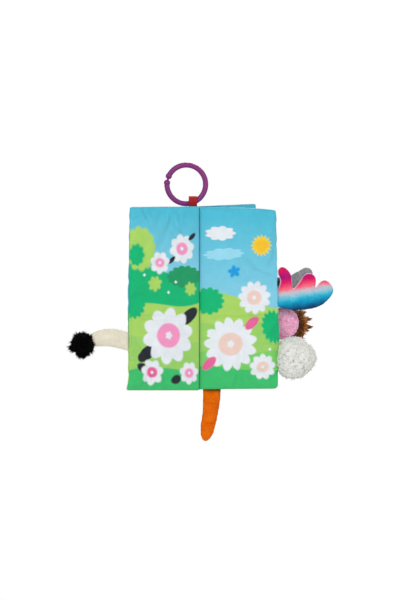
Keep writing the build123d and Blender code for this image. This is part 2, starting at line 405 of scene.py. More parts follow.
# %% [markdown]
# ## The printed pages
# Each face of a leaf is a little landscape in flat inks: sky, rolling hills, round
# bushes and flowers. Positions are in decimetres from the leaf's lower corner, so a
# picture is just a list of masks from the back of the scene to the front.


# %% Layers of a landscape
def hill(ink, *values):
    """Rolling hills: height, slope, swell, waves, phase, teeth, pitch of the teeth and softness."""
    names = ("Height", "Slope", "Swell", "Waves", "Phase", "Teeth", "Pitch", "Soft")
    return printed_hill, ink, dict(zip(names, values))


def shape(ink, x, y, width, *values):
    """One lobed shape: its middle, width, height, turn, number of lobes and their depth."""
    named = dict(zip(("Height", "Turn", "Lobes", "Depth"), values))
    return printed_shape, ink, dict(Centre=(x, y, 0), Width=width, Soft=0.012 / max(width, 0.05), **named)


def dots(ink, size, lobes, depth, *places):
    """Small equal shapes at several places."""
    return [shape(ink, x, y, size, size, 0, lobes, depth) for x, y in places]


def blossom(x, y, size, petals, petal, heart):
    """A round flower: lobed petals, a heart in the middle and a small star on the heart."""
    return [
        shape(petal, x, y, size, size, 0.2, petals, 0.22),
        shape(heart, x, y, size * 0.46, size * 0.42, 0.0, 0, 0),
        shape(petal, x, y, size * 0.14, size * 0.14, 0.0, 5, 0.3),
    ]


SKY, SKY_LOW, SHORE_SKY, BLUE = (76, 184, 208), (124, 199, 221), (110, 204, 222), (24, 152, 214)
LIME, MEADOW, GRASS = (166, 208, 98), (150, 203, 100), (58, 186, 106)
LEAF, PINE = (10, 178, 112), (30, 150, 96)
PINK, ROSE, PEACH, APPLE = (240, 146, 190), (226, 96, 150), (232, 200, 188), (222, 64, 70)
SUN, GOLD, AMBER, BARK = (238, 204, 60), (242, 190, 44), (240, 150, 50), (140, 96, 60)
WHITE, INK, HAZE = (226, 230, 234), (33, 38, 46), (150, 212, 232)
STAR = (WHITE, 0.018, 4, 0.4)

# %% Flower field
flower_field = printed_finish(
    "print_flower_field", SKY,
    hill(SKY_LOW, 1.72, 0, 0.02, 5, 0, 0, 20, 0.3),
    hill(LEAF, 1.46, -0.10, 0.07, 4.4, 2.2),
    shape(LIME, 0.14, 1.62, 0.20, 0.26, 0.1, 12, 0.12),
    shape(LEAF, 0.10, 1.55, 0.10, 0.13, 0.0, 9, 0.16),
    shape(PINE, 0.74, 1.30, 0.24, 0.13, 0.0, 14, 0.14),
    shape(LIME, 0.34, 1.22, 0.09, 0.09, 0.3, 7, 0.30),
    shape(LIME, 0.82, 1.16, 0.08, 0.08, 0.9, 7, 0.30),
    *dots(*STAR, (0.52, 1.12), (0.20, 1.32), (0.62, 1.24)),
    *blossom(0.70, 1.62, 0.17, 8, WHITE, PINK),
    shape(INK, 0.56, 1.49, 0.06, 0.026, 0.7, 0, 0),
    shape(INK, 0.84, 1.76, 0.06, 0.026, 0.7, 0, 0),
    *blossom(0.40, 1.46, 0.13, 7, WHITE, PINK),
    hill(LIME, 0.92, 0.12, 0.05, 5.2, 0.6),
    shape(LEAF, 0.08, 0.98, 0.15, 0.17, 0.0, 13, 0.2),
    hill(MEADOW, 0.60, -0.08, 0.03, 6.0, 1.4),
    hill(GRASS, 0.22, 0.03, 0.03, 5.0, 0.2),
    shape(INK, 0.24, 0.42, 0.15, 0.07, 0.65, 0, 0),
    shape(INK, 0.79, 0.84, 0.15, 0.07, 0.65, 0, 0),
    *blossom(0.52, 0.62, 0.33, 10, WHITE, PINK),
    shape(INK, 0.19, 0.24, 0.10, 0.05, -0.5, 0, 0),
    *blossom(0.30, 0.20, 0.15, 7, WHITE, ROSE),
    *blossom(0.80, 0.19, 0.13, 7, WHITE, PINK),
    shape(INK, 0.62, 0.12, 0.07, 0.05, 0.3, 0, 0),
)

# %% Cloudy meadow
cloud_meadow = printed_finish(
    "print_cloud_meadow", SKY,
    hill(SKY_LOW, 1.55, 0.02, 0.02, 5, 0, 0, 20, 0.45),
    shape(HAZE, 0.30, 1.56, 0.24, 0.07, 0.05, 10, 0.18),
    shape(WHITE, 0.26, 1.80, 0.18, 0.085, 0.0, 9, 0.2),
    shape(SUN, 0.74, 1.66, 0.12, 0.12, 0.0, 16, 0.28),
    shape(GOLD, 0.74, 1.66, 0.075, 0.075, 0.0, 0, 0),
    shape(BLUE, 0.42, 1.36, 0.075, 0.07, 0.5, 5, 0.45),
    hill(LIME, 1.12, -0.16, 0.04, 4.0, 0.8),
    shape(LEAF, 0.12, 1.02, 0.19, 0.16, 0.0, 13, 0.16),
    *blossom(0.66, 1.06, 0.19, 11, WHITE, PEACH),
    hill(MEADOW, 0.74, 0.05, 0.03, 5.5, 2.0),
    shape(LEAF, 0.88, 0.72, 0.14, 0.20, 0.2, 15, 0.18),
    hill((120, 200, 98), 0.42, 0.02, 0.02, 7.0, 0.4),
    hill(GRASS, 0.25, -0.02, 0.02, 5.0, 1.0),
    *blossom(0.38, 0.52, 0.31, 13, WHITE, PEACH),
    shape(ROSE, 0.13, 0.30, 0.10, 0.05, 0.75, 0, 0),
    shape(ROSE, 0.63, 0.76, 0.10, 0.05, 0.75, 0, 0),
    *blossom(0.76, 0.26, 0.15, 9, WHITE, PEACH),
    *dots(*STAR, (0.12, 0.62), (0.84, 0.46)),
)

# %% Pond side
pond_side = printed_finish(
    # this first colour is left only in a strip 1 to 2 mm deep along the top edge: painted shade on the leaf's
    # top
    "print_pond_side", (46, 142, 164),
    hill((74, 178, 200), 2.095, 0.05, 0, 5, 0, 0, 20, 0.006),
    hill(SHORE_SKY, 1.70, 0, 0.02, 5, 0, 0, 20, 0.3),
    hill(LIME, 1.30, 0.1, 0.05, 4.6, 1.0),
    shape(LEAF, 0.20, 1.42, 0.18, 0.2, 0.0, 12, 0.16),
    hill(BLUE, 0.82, -0.05, 0.03, 6.0, 0.0),
    hill((90, 190, 226), 0.60, 0.02, 0.02, 8.0, 1.0),
    hill(GRASS, 0.26, 0.0, 0.03, 5.0, 0.5, 0.08, 34),
    *blossom(0.60, 0.70, 0.17, 8, WHITE, SUN),
    *blossom(0.26, 0.52, 0.12, 8, PINK, SUN),
    shape(SUN, 0.72, 1.78, 0.12, 0.12, 0, 14, 0.25),
)

# %% Orchard
orchard = printed_finish(
    "print_orchard", (128, 206, 228),
    hill((196, 222, 110), 1.22, -0.08, 0.06, 4.0, 0.2),
    hill(GRASS, 0.70, 0.10, 0.05, 4.8, 2.0),
    shape(BARK, 0.46, 0.82, 0.05, 0.30, 0, 0, 0),
    shape(PINE, 0.46, 1.26, 0.32, 0.30, 0, 13, 0.14),
    *dots(APPLE, 0.05, 0, 0, (0.34, 1.30), (0.56, 1.38), (0.54, 1.14)),
    shape(WHITE, 0.74, 1.80, 0.16, 0.075, 0, 9, 0.2),
    *blossom(0.20, 0.40, 0.13, 8, WHITE, SUN),
    *blossom(0.74, 0.30, 0.11, 8, PINK, SUN),
)

# %% Outer cover
outer_cover = printed_finish(
    "print_outer_cover", (70, 170, 194),
    hill(SKY, 1.30, 0.0, 0.05, 4.0, 0.0, 0, 20, 0.2),
    hill(LEAF, 0.86, 0.08, 0.05, 4.6, 1.0),
    hill(LIME, 0.50, -0.06, 0.05, 5.2, 2.2),
    shape(WHITE, 0.30, 1.62, 0.2, 0.09, 0, 9, 0.2),
    shape(WHITE, 0.70, 1.40, 0.16, 0.07, 0, 9, 0.2),
    *blossom(0.50, 0.62, 0.2, 9, WHITE, PINK),
    *blossom(0.18, 0.34, 0.12, 8, SUN, AMBER),
    *blossom(0.78, 0.26, 0.12, 8, PINK, WHITE),
)

# %% [markdown]
# ## Padded leaves
# A leaf is two sheets of cloth sewn round the edge with a thin wadding inside. The
# shell starts as a grid on each side, thin at the seam and full in the middle. The
# cloth solver then lets a little spare cloth swell between the fixed seams, and
# that makes the soft puckers which no formula gives as well.

# %% Sizes of a padded leaf
LEAF_RUN = 43.0        # from the bound edge to the full thickness
SEAM_RUN = 13.0        # the same from the other edges
SEAM_HALF = 0.9        # half the thickness at a seam
LEAF_FILL = 2.6        # what the wadding adds to that
EDGE_INSET = 0.4       # the outer edge stays this far inside the leaf's width
CORNER = 2.5           # radius of an outer corner
CREASE_UP, CREASE_RISE = 80, 5       # a crease across the leaf, above its lower edge
CREASE_WIDTH, CREASE_DEPTH = 2.4, 1.3
SLACK = 0.35           # height of the slow waves of slack cloth
RELIEF_RUN = 9         # from a seam to the full crease and waves
SHORT_PLEATS = (2.6, 7.0, 1.3, 0.4)  # width, length, height and slant
LONG_PLEATS = (4.6, 20.0, 1.5, 0.7)
SOFT_FOLDS = (4.6, 36.0, 2.2, 0.45)
FOLD_START, SWELL_START, FADE_RUN = 25, 15, 50   # where folds and swelling begin, and grow to full
LEAF_SWELL = 2.2       # the most that a leaf's cloth may swell
LEAF_PRESSURE = 0.9
LEAST_SWELL = 0.05     # share of it that is left beside the spine
print("leaf:", LEAF_WIDTH, "x", round(BOOK_TOP - BOOK_BOTTOM, 1), "mm")


# %% Pleats
def puckers(draw, inward, along, reach, count, width, length, height, slant):
    """Soft pleats that run in from a seam: each is a ridge or valley of that width across its own
    slanting line, strongest a certain length in from the seam and fading further in."""
    places = draw.uniform(reach[0] + 6, reach[1] - 6, count)
    slopes = draw.uniform(-slant, slant, count)
    heights = draw.uniform(-height, 0.7 * height, count)
    line = along[..., None] - places - slopes * inward[..., None]
    fade = inward[..., None] / length
    return (heights * np.exp(-((line / width) ** 2)) * fade * np.exp(1 - fade)).sum(-1)


# %% Two grids sewn at the edge
def leaf_shell(name, top_in, margin=0.0, lift=0.0, low_corner=CORNER, flare=0.0, bow=1, belly=0.0, narrow=1.9,
               columns=48, rows=100):
    """s = width times u, less towards the top, with a faint wave and a low belly; z runs from the lower to
    the upper edge with v, and the upper edge falls by a power of u. Points near an outer corner slide onto
    a round arc. n = a thin seam plus the root of a rounded distance to the edge, less a crease across the
    leaf, plus pleats from three edges and soft folds from the outer one. The distance from the bound edge
    counts for less, which leaves room for the book to close."""
    u, v = np.meshgrid(np.linspace(0, 1, columns), np.linspace(0, 1, rows), indexing="xy")
    outer = LEAF_WIDTH - EDGE_INSET - narrow * np.clip(2 * v - 1, 0, 1)
    outer = outer + 0.25 * np.sin(61 * v) + 0.15 * np.sin(113 * v + 1)
    outer = outer + flare * np.exp(-((v / 0.04) ** 2)) + belly * np.exp(-(((v - 0.27) / 0.16) ** 2))
    s = outer * u
    low = BOOK_BOTTOM - margin + (0.5 + lift) * u
    high = BOOK_TOP + margin + lift * u - top_in * u**bow
    z = low + (high - low) * v
    for edge, sign, corner in ((high, 1, CORNER), (low, -1, low_corner)):
        a = np.maximum(corner - (outer - s), 0)
        b = np.maximum(corner - sign * (edge - z), 0)
        shrink = np.where((a > 0) & (b > 0), np.maximum(a, b) / np.maximum(np.hypot(a, b), 1e-9), 1.0)
        s = s - a * (1 - shrink)
        z = z - sign * b * (1 - shrink)
    nearest = np.minimum.reduce([s * SEAM_RUN / LEAF_RUN, outer - s, z - low, high - z])
    rise = 1 - np.clip(nearest / SEAM_RUN, 0, 1)
    n = SEAM_HALF + LEAF_FILL * np.sqrt(np.maximum(1 - rise**2, 0))
    relief = np.clip(nearest / RELIEF_RUN, 0, 1)
    crease = np.exp(-(((z - (BOOK_BOTTOM + CREASE_UP + CREASE_RISE * u)) / CREASE_WIDTH) ** 2)) * relief
    waves = np.sin(0.29 * z + 1.7 * np.sin(0.11 * s)) * np.sin(0.23 * s + 1.3 * np.sin(0.07 * z))
    n = n - CREASE_DEPTH * crease + SLACK * waves * relief
    up_edge = (outer - s, z, (BOOK_BOTTOM, BOOK_TOP))
    pleats = 0.0
    for *edge, count in ((*up_edge, 12), (high - z, s, (0, LEAF_WIDTH), 6), (z - low, s, (0, LEAF_WIDTH), 6)):
        pleats = pleats + puckers(chance, *edge, count, *SHORT_PLEATS)
        pleats = pleats + puckers(chance, *edge, count // 2, *LONG_PLEATS)
    folds = puckers(drape, *up_edge, 8, *SOFT_FOLDS)
    n = n + pleats * np.clip(s / LEAF_RUN, 0, 1) + folds * np.clip((s - FOLD_START) / FADE_RUN, 0, 1)
    n = np.maximum(n, SEAM_HALF)
    points = np.concatenate([on_leaf(name, s, z, side * n).reshape(-1, 3) for side in (1, -1)])
    count = rows * columns
    ids = np.arange(count).reshape(rows, columns)
    rim = np.concatenate([ids[0, :-1], ids[:-1, -1], ids[-1, :0:-1], ids[:0:-1, 0]])
    following = np.roll(rim, -1)
    side = grid_faces(rows, columns)
    wall = np.stack([rim, rim + count, following + count, following], -1)
    faces = np.concatenate([side, side[:, ::-1] + count, wall])
    uv = np.stack([s, z - BOOK_BOTTOM], -1).reshape(-1, 2) / 100
    slots = np.concatenate([np.zeros(len(side)), np.ones(len(side)), np.zeros(len(wall))]).astype(int)
    return points, faces, np.concatenate([uv, uv]), slots, np.concatenate([rim, rim + count])


def turn_shell(faces, points):
    """Turns all faces round if the shell's signed volume says that they point inwards."""
    a, b, c = (points[faces[:, k]] - points.mean(0) for k in range(3))
    volume = np.einsum("ij,ij->i", a, np.cross(b, c)).sum()
    return faces if volume > 0 else faces[:, ::-1]


# %% Make the leaves
swelling = []
chance = np.random.default_rng(11)
drape = np.random.default_rng(23)
LEAF_FORMS = {
    "front_cover": dict(top_in=1.2, margin=1.2, low_corner=1.5, flare=2.2),
    "page_one": dict(top_in=3.0, low_corner=5.0, bow=4, belly=1.8),
    "page_two": dict(top_in=3.0, bow=4),
    "page_three": dict(top_in=3.0, bow=4),
    "back_cover": dict(top_in=1.2, margin=1.2, lift=5.0, narrow=0.4),
}
for name, form in LEAF_FORMS.items():
    points, faces, uv, slots, seam_points = leaf_shell(name, **form)
    room = LEAF_SWELL * np.clip((100 * uv[:, :1] - SWELL_START) / FADE_RUN, LEAST_SWELL, 1)
    if name == "front_cover":
        uv[:, 0] = LEAF_WIDTH / 100 - uv[:, 0]
    leaf = new_piece(name + "_cloth", points, turn_shell(faces, points).tolist(), uv, slots)
    swelling.append((leaf, seam_points, LEAF_PRESSURE, room))
print("leaves ready to swell:", len(swelling))

# %% [markdown]
# ## Stuffed tails from flat outlines
# A stuffed tail is two equal panels sewn round their outline. The outline is filled
# with a triangle net, and a stretched-membrane equation gives each point its height:
# every point takes the mean of its neighbours plus a push. The root of that height
# is round at the seam, as stuffing makes it. The cloth solver adds the puckers.

# %% Outlines
OUTLINE_STEP = 1.2


def run_along(curve):
    """The distance along a curve from its start to each of its points."""
    return np.concatenate([[0], np.cumsum(np.hypot(*np.diff(curve, axis=0).T))])


def evenly(curve, step):
    """The same curve with its points an even step apart."""
    length = run_along(curve)
    even = np.linspace(0, length[-1], int(length[-1] / step) + 1)
    return np.stack([np.interp(even, length, curve[:, k]) for k in range(2)], -1)


def smooth_outline(points, step=OUTLINE_STEP):
    """A curve through the points: each coordinate is a cubic through its neighbours, sampled evenly."""
    p = np.asarray(points, float)
    padded = np.vstack([2 * p[0] - p[1], p, 2 * p[-1] - p[-2]])
    t = np.linspace(0, 1, 24, endpoint=False)[None, :, None]
    a, b, c, d = (padded[k:len(p) - 1 + k, None, :] for k in range(4))
    curve = 0.5 * (2 * b + (c - a) * t + (2 * a - 5 * b + 4 * c - d) * t**2 + (3 * b - a - 3 * c + d) * t**3)
    return evenly(np.vstack([curve.reshape(-1, 2), p[-1:]]), step)


def close_root(curve):
    """Joins the end of an outline to its start by a straight run at the root."""
    count = int(np.hypot(*(curve[0] - curve[-1])) / OUTLINE_STEP)
    run = curve[-1] + (curve[0] - curve[-1]) * np.linspace(0, 1, count + 1)[1:-1, None]
    return np.vstack([curve, run])


def sewn(*curves):
    """One closed outline through smooth curves and the root."""
    return close_root(np.vstack([smooth_outline(curve) for curve in curves]))


def capsule(root_width, tip, radius):
    """Outline round a disc at the root and a disc at the tip, cut off straight at the root."""
    theta = circle(240)
    ring = np.stack([np.cos(theta), np.sin(theta)], -1)
    cloud = np.vstack([ring * root_width / 2, np.array(tip) + ring * radius])
    support = (cloud @ ring.T).max(0)
    slope = np.gradient(np.concatenate([support[-1:], support, support[:1]]), theta[1])[1:-1]
    hull = support[:, None] * ring + slope[:, None] * ring[:, ::-1] * np.array([-1, 1])
    hull = np.roll(hull, -int(np.argmin(hull[:, 0])), 0)
    return close_root(evenly(hull[hull[:, 0] > 0], OUTLINE_STEP))


# %% Membrane shells
MEMBRANE_STEPS = 700
ROW_SHARE = 0.87       # rows of an even-sided triangle net stand this share of a step apart
CREASE_SLANT = 0.12    # how much a tail's crease leans


def gap_to(points, outline):
    """The distance from each point to the nearest point of an outline."""
    return np.min(np.hypot(*(points[:, None] - outline[None]).transpose(2, 0, 1)), 1)


def stuffed_shell(outline, half, step=1.6):
    """Flat points, heights, triangles and rim of a sewn panel, by the membrane equation."""
    low, high = outline.min(0), outline.max(0)
    x, y = np.meshgrid(np.arange(low[0], high[0], step), np.arange(low[1], high[1], step * ROW_SHARE))
    x = x + (np.arange(len(x)) % 2)[:, None] * step / 2
    inner = np.stack([x.ravel(), y.ravel()], -1)
    flat = np.vstack([outline, inner[gap_to(inner, outline) > step * 0.6]])
    rim = list(range(len(outline)))
    done = delaunay_2d_cdt([Vector(p) for p in flat.tolist()], [], [rim], 1, 1e-6)
    used, triangles = np.unique(np.array(done[2]), return_inverse=True)
    triangles = triangles.reshape(-1, 3)
    points = np.array([tuple(p) for p in done[0]])[used]
    on_rim = gap_to(points, outline) < 1e-3
    pairs = np.concatenate([triangles[:, [0, 1]], triangles[:, [1, 2]], triangles[:, [2, 0]]])
    pairs = np.concatenate([pairs, pairs[:, ::-1]])
    share = np.bincount(pairs[:, 0], minlength=len(points))
    height = np.zeros(len(points))
    for _ in range(MEMBRANE_STEPS):
        height = np.bincount(pairs[:, 0], height[pairs[:, 1]], len(points)) / share + 1.0
        height[on_rim] = 0
    return points, half * np.sqrt(height / height.max()), triangles, on_rim


def stuffed_tail(name, leaf, root, outline, half, pressure, cap, down=False, creases=()):
    """Two membrane panels back to back on a leaf's plane, sewn at their common outline; a crease is a
    shallow valley across the tail. Each point keeps its distance from the seam as an attribute."""
    flat, height, triangles, on_rim = stuffed_shell(outline, half)
    for crease in creases:
        beside = flat[:, 0] - crease - CREASE_SLANT * flat[:, 1]
        height = height * (1 - 0.5 * np.exp(-((beside / 2.2) ** 2)))
    s = root[0] + flat[:, 1 if down else 0]
    z = root[1] + (-flat[:, 0] if down else flat[:, 1])
    back_ids = np.where(on_rim, np.arange(len(flat)), len(flat) + np.cumsum(~on_rim) - 1)
    points = np.concatenate([on_leaf(leaf, s, z, height), on_leaf(leaf, s, z, -height)[~on_rim]])
    faces = turn_shell(np.concatenate([triangles, back_ids[triangles][:, ::-1]]), points)
    piece = new_piece(name, points, faces.tolist(), np.concatenate([flat, flat[~on_rim]]) / 100)
    gap = gap_to(flat, outline)
    seam = piece.data.attributes.new("from_seam", "FLOAT", "POINT")
    seam.data.foreach_set("value", np.concatenate([gap, gap[~on_rim]]))
    swelling.append((piece, np.flatnonzero(on_rim), pressure, cap))
    return piece


# %% The six stuffed tails
SEWN_IN = 1.0          # how far a tail's root goes into its leaf's edge
DROPS = dict(crest=105, cream=154.7, grey=106, charcoal=88, fleece=135.2, mane=136, wool=173.7)


def at_edge(tail):
    """A tail's root on its leaf's outer edge, at its drop below the book's top."""
    return (LEAF_WIDTH - SEWN_IN, BOOK_TOP - DROPS[tail])


CREST = [(0, 9.4), (2.4, 15.4), (2.8, 21.0), (0.3, 28.8), (1.2, 34.2), (5.8, 37.0), (11.6, 34.0),
         (16.6, 27.0), (18.0, 18.4), (18.8, 11.8), (22.4, 15.2), (26.6, 20.4), (31.2, 26.8), (36.4, 29.2),
         (41.6, 28.6), (45.4, 24.4), (46.2, 18.8), (45.6, 13.0), (49.8, 18.8), (55.2, 21.6), (60.6, 19.8),
         (65.0, 14.4), (66.6, 8.4), (62.6, 0.8), (53.8, -7.2), (42.4, -11.8), (26, -13.8), (10, -12.6),
         (0, -9.8)]
CREAM = [(0, 11.0), (12, 14.4), (24.5, 15.6), (38, 14.0), (50, 10.0)]
CREAM_UNDER = [(50, -6.4), (38, -5.9), (24.5, -6.2), (12, -8.4), (0, -11.2)]
FLAME = [(0, 11.4), (16, 10.0), (31.8, 7.2), (46, 3.6), (53.2, 1.2), (59, -3.4), (61.2, -7.4),
         (59.6, -11.6), (53.4, -14.2), (42, -14.2), (31.8, -12.6), (16, -11.6), (0, -11.4)]
FLAME_ROOT = (20.2, BOOK_BOTTOM + 1.2)
FLEECE = capsule(36.4, (16, 1.6), 16.0)
FLEECE_HALF = 5.6

crest = stuffed_tail("crest_satin", "page_one", at_edge("crest"), sewn(CREST),
                     half=5.4, pressure=0.5, cap=1.6)
cream = stuffed_tail("cream_plush_tail", "front_cover", at_edge("cream"), sewn(CREAM, CREAM_UNDER),
                     half=5.4, pressure=0.4, cap=1.2)
flame = stuffed_tail("flame_velour_tail", "page_two", FLAME_ROOT, sewn(FLAME),
                     half=5.0, pressure=0.5, cap=1.4, down=True, creases=(19.2, 41.8))
grey = stuffed_tail("grey_plush_tail", "page_three", at_edge("grey"), capsule(21, (56, 29.0), 8.4),
                    half=5.5, pressure=0.4, cap=1.2)
charcoal = stuffed_tail("charcoal_plush_tail", "back_cover", at_edge("charcoal"),
                        capsule(18, (38, -0.5), 8.2), half=5.5, pressure=0.4, cap=1.2)
fleece = stuffed_tail("fleece_pad", "page_two", at_edge("fleece"), FLEECE,
                      half=FLEECE_HALF, pressure=0.4, cap=0.3)
print("shells ready to swell:", len(swelling))

# %% [markdown]
# ## Let the cloth swell
# Sewn and filled cloth is a little too large for its outline, so it stands up between
# the seams. All shells go through Blender's cloth solver at once, with their seams
# held. Each keeps only a capped share of the movement, so that leaves stay apart.


# %% Cloth solver
def points_of(mesh):
    """A mesh's points as an array."""
    flat = np.empty(len(mesh.vertices) * 3)
    mesh.vertices.foreach_get("co", flat)
    return flat.reshape(-1, 3)


def swell(pieces, frames=16, spare=0.035):
    """All shells swell together: seams stay, spare cloth and a light pressure move the rest, with a cap."""
    scene = bpy.context.scene
    for piece, seam_points, pressure, _ in pieces:
        piece.vertex_groups.new(name="seam").add(seam_points.tolist(), 1.0, "REPLACE")
        modifier = piece.modifiers.new("swell", "CLOTH")
        cloth = modifier.settings
        cloth.quality = 5
        cloth.mass = 0.15
        cloth.tension_stiffness = cloth.compression_stiffness = 12
        cloth.bending_stiffness = 0.08
        cloth.use_pressure = True
        cloth.uniform_pressure_force = pressure
        cloth.shrink_min = -spare
        cloth.vertex_group_mass = "seam"
        cloth.effector_weights.gravity = 0
        modifier.collision_settings.use_collision = False
    for number in range(1, frames + 1):
        scene.frame_set(number)
    graph = bpy.context.evaluated_depsgraph_get()
    moved = {piece.name: points_of(piece.evaluated_get(graph).data) for piece, *_ in pieces}
    for piece, _, _, cap in pieces:
        rest = points_of(piece.data)
        step = moved[piece.name] - rest
        size = np.linalg.norm(step, axis=1, keepdims=True) * 1000
        step = step * np.where(size > 0, cap * np.tanh(size / cap) / np.maximum(size, 1e-9), 0)
        piece.modifiers.clear()
        piece.vertex_groups.clear()
        piece.data.vertices.foreach_set("co", (rest + step).ravel())
        piece.data.update()
        print(piece.name, "moved by at most", round(float(size.max()), 2), "mm before the cap")
    scene.frame_set(1)


swell(swelling)

# %% [markdown]
# ## Cloth on the leaves
# Each leaf has a printed front and a printed back. They are two material slots of one
# mesh, so the sides can't come apart. One subdivision rounds the swollen net.

# %% Dress the leaves
FACES = {
    "front_cover": (outer_cover, flower_field),
    "page_one": (cloud_meadow, pond_side),
    "page_two": (pond_side, orchard),
    "page_three": (orchard, cloud_meadow),
    "back_cover": (pond_side, outer_cover),
}
for name, prints in FACES.items():
    leaf = bpy.data.objects[name + "_cloth"]
    cover = name.endswith("cover")
    finish_piece(leaf, name if cover else "pages", "printed_cloth", prints, name if cover else "inner_pages")
    soften(leaf)

# %% [markdown]
# ## Tail cloths
# The crest is satin whose dye runs from magenta tips through a pale band to teal. The
# band slopes, so the dye is read along height minus a share of the distance outward.
# Plush and velour are matt, with mingled tones and a soft sheen at their edges.

# %% Crest satin
DYE_SLOPE = -0.165
DYE_LOW, DYE_HIGH = -0.135, 0.405
DYES = [(0.0, (0, 58, 104)), (0.07, (0, 100, 146)), (0.155, (0, 144, 180)), (0.225, (34, 170, 202)),
        (0.29, (108, 188, 208)), (0.345, (168, 194, 206)), (0.40, (206, 178, 192)), (0.46, (238, 112, 128)),
        (0.54, (238, 58, 106)), (0.62, (212, 2, 94)), (0.74, (166, 2, 112)), (0.87, (208, 0, 88)),
        (1.0, (216, 0, 82))]
PIPING_WIDTH, PIPING_FROM, PIPING_SHARE, PIPING = 1.0, 0.38, 0.75, (240, 212, 226)
crest_satin, tree, shader = new_finish("crest_satin", 0.48)
shader.inputs["Anisotropic"].default_value = 0.3
do = partial(calc, tree)
uv = flat_uv(tree)
x, y, _ = split(tree, uv)
dye = do("MULTIPLY_ADD", x, DYE_SLOPE, y)
dye = do("MULTIPLY_ADD", noise(tree, uv, 9.0), 0.06, dye)
dye = do("MULTIPLY_ADD", do("SUBTRACT", noise(tree, uv, 55.0), 0.5), 0.05, dye)
span = stretch(tree, dye, DYE_LOW, DYE_HIGH)
ramp = add(tree, "ValToRGB", span)
stops = ramp.color_ramp.elements
stops[0].color = srgb(*DYES[0][1])
stops[1].color = srgb(*DYES[-1][1])
for place, ink in DYES[1:-1]:
    stops.new(place).color = srgb(*ink)
seam = add(tree, "Attribute")
seam.attribute_name = "from_seam"
piping = edge_mask(tree, do("SUBTRACT", seam.outputs["Fac"], PIPING_WIDTH), 0.3)
upper = edge_mask(tree, do("SUBTRACT", PIPING_FROM, span), 0.05)
piping = do("MULTIPLY", do("MULTIPLY", piping, upper), PIPING_SHARE)
piped = mix(tree, piping, ramp.outputs[0], srgb(*PIPING))
weave_over(tree, shader, uv, piped, strength=0.2, distance=0.0001, threads=220.0)
finish_piece(crest, "pages", "crest_satin", [crest_satin], "crest_tail")

# %% Plush and velour
cream_plush = pile_finish("cream_plush", (210, 202, 182), (228, 222, 203), 700, sheen=0.15)
orange_velour = pile_finish("orange_velour", (196, 82, 0), (230, 110, 0), 800, sheen=0.0)
grey_plush = pile_finish("grey_plush", (108, 107, 110), (162, 160, 164), 800)
charcoal_plush = pile_finish("charcoal_plush", (30, 29, 32), (58, 57, 62), 800)
pink_base = pile_finish("pink_fleece_base", (254, 160, 204), (255, 178, 214), 900)
finish_piece(cream, "front_cover", "cream_plush", [cream_plush], "cream_tail")
finish_piece(flame, "pages", "orange_velour", [orange_velour], "flame_tail")
finish_piece(grey, "pages", "grey_plush", [grey_plush], "grey_tail")
finish_piece(charcoal, "back_cover", "charcoal_plush", [charcoal_plush], "charcoal_tail")
finish_piece(fleece, "pages", "pink_fleece", [pink_base], "fleece_tail")
for tail in (crest, cream, flame, grey, charcoal, fleece):
    soften(tail)

# %% [markdown]
# ## Curls and locks
# Wool and fleece are hundreds of small curls; fur is thousands of tapering locks. One
# curl or lock is a few rings of points. All of them are worked out at once, as an
# array of roots, directions and random turns, with a fixed seed.


# %% Tubes and curls
def cross_frame(normals):
    """Two directions square to each normal."""
    helper = np.where(np.abs(normals[:, 2:3]) < 0.9, np.array([[0, 0, 1.0]]), np.array([[1.0, 0, 0]]))
    first = unit(np.cross(normals, helper))
    return first, np.cross(normals, first)


def tubes(paths, radii, sides=4):
    """Tapering tubes: a ring of points round each path point, the ends closed by single faces. The UV is
    a random tone for each tube, and the share of its length."""
    count, steps, _ = paths.shape
    tangent = unit(np.gradient(paths, axis=1).reshape(-1, 3))
    first, second = (a.reshape(count, steps, 1, 3) for a in cross_frame(tangent))
    theta = np.arange(sides) * 2 * pi / sides
    ring = np.cos(theta)[:, None] * first + np.sin(theta)[:, None] * second
    points = (paths[:, :, None] + radii[:, :, None, None] * ring).reshape(-1, 3)
    base = np.arange(count)[:, None] * steps * sides
    faces = (grid_faces(steps, sides, wrap=True)[None] + base[..., None]).reshape(-1, 4).tolist()
    faces += (base + np.arange(sides)[::-1]).tolist()
    faces += (base + (steps - 1) * sides + np.arange(sides)).tolist()
    tone = chance.uniform(0, 1, (count, 1, 1))
    share = np.linspace(0, 1, steps)[None, :, None]
    uv = np.stack(np.broadcast_arrays(tone, share, np.zeros((1, 1, sides)))[:2], -1).reshape(-1, 2)
    return points, faces, uv


def curls(roots, normals, size, thick, turns=1.3, steps=11):
    """Spiral curls: a circle of shrinking radius in a tilted plane, rising a little off the surface."""
    first, second = cross_frame(normals)
    spin = chance.uniform(0, 2 * pi, len(roots))[:, None, None]
    tilt = chance.uniform(-0.9, 0.9, len(roots))[:, None, None]
    way = chance.choice([-1, 1], len(roots))[:, None, None]
    t = np.linspace(0, 1, steps)[None, :, None]
    scale = (size * chance.uniform(0.75, 1.25, len(roots)))[:, None, None]
    theta = spin + way * turns * 2 * pi * t
    radius = scale * (1 - 0.55 * t)
    flat = first[:, None] * np.cos(theta) * radius + second[:, None] * np.sin(theta) * radius
    lift = normals[:, None] * (np.sin(theta) * radius * tilt * 0.7 + scale * 0.8 * t)
    radii = thick * (1 - 0.35 * t[..., 0]) * np.ones((len(roots), 1))
    return tubes(roots[:, None] + flat + lift, radii)


# %% Locks
LOCK_TAPER = np.array([[0.8, 1.0, 0.85, 0.5, 0.06]])   # a lock's girth from root to tip


def locks(roots, directions, lengths, thick, droop, stray=0.18):
    """Fur locks: paths along the directions, bent by droop times the distance squared, thin at the tip."""
    t = np.linspace(0, 1, LOCK_TAPER.size)[None, :, None]
    sway = chance.normal(0, stray, (len(roots), 1, 3))
    bend = (np.array([0, 0, -droop]) + sway) * t**2
    paths = roots[:, None] + lengths[:, None, None] * (directions[:, None] * t + bend)
    return tubes(paths, thick[:, None] * LOCK_TAPER, 3)


